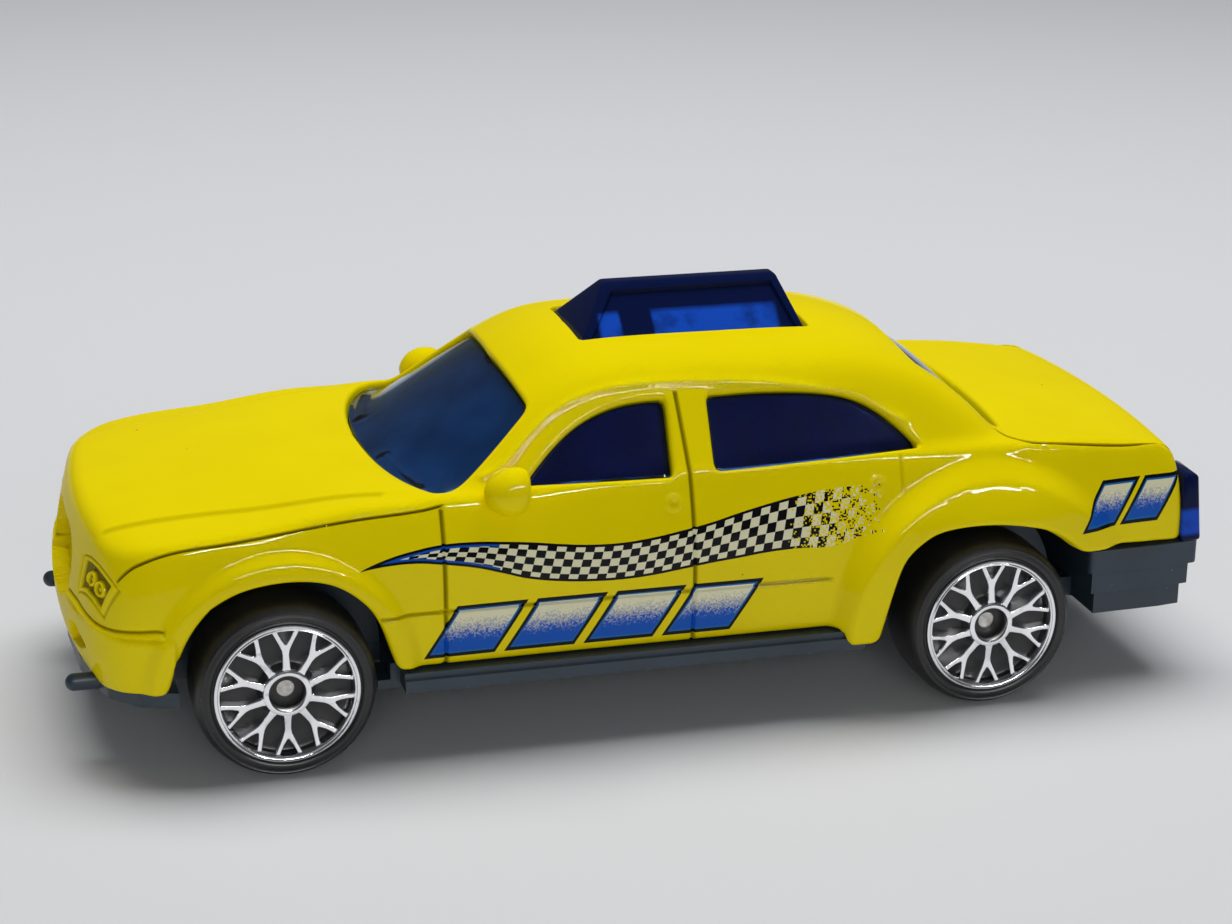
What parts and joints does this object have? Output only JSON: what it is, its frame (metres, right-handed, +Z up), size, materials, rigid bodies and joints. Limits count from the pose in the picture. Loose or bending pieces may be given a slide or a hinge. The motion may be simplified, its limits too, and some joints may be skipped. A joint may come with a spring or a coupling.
{
  "type": "toy taxi car",
  "caption": "Small die-cast toy taxi: hollow metal saloon body with roof sign and tinted windows, riveted to a moulded base, rolling on wire axles with dished plastic wheels.",
  "frame": {"origin": "on the ground under the middle of the car's overall box", "axes": "+X to the front of the car, +Y to its left side, +Z up"},
  "size_m": [0.075, 0.0312, 0.0264],
  "materials": {
    "body_paint": "gloss enamel",
    "tinted_plastic": "clear, polished",
    "base_plastic": "satin moulded",
    "axle_steel": "drawn wire",
    "wheel_plastic": "satin moulded",
    "wheel_chrome": "hot-stamped foil"
  },
  "bodies": {
    "chassis": {"body_casting": "body_paint", "window_insert": "tinted_plastic", "base_plate": "base_plastic", "front_axle": "axle_steel", "rear_axle": "axle_steel"},
    "front_left": {"front_left_wheel": "wheel_plastic"},
    "front_right": {"front_right_wheel": "wheel_plastic"},
    "rear_left": {"rear_left_wheel": "wheel_plastic"},
    "rear_right": {"rear_right_wheel": "wheel_plastic"}
  },
  "joints": [
    {"name": "front_left_spin", "type": "hinge", "parent": "chassis", "child": "front_left", "pos_m": [0.02465, 0.0129, 0.00567], "axis": [0, 1, 0], "continuous": true},
    {"name": "front_right_spin", "type": "hinge", "parent": "chassis", "child": "front_right", "pos_m": [0.02465, -0.0129, 0.00567], "axis": [0, 1, 0], "continuous": true},
    {"name": "rear_left_spin", "type": "hinge", "parent": "chassis", "child": "rear_left", "pos_m": [-0.02155, 0.0129, 0.00567], "axis": [0, 1, 0], "continuous": true},
    {"name": "rear_right_spin", "type": "hinge", "parent": "chassis", "child": "rear_right", "pos_m": [-0.02155, -0.0129, 0.00567], "axis": [0, 1, 0], "continuous": true}
  ]
}
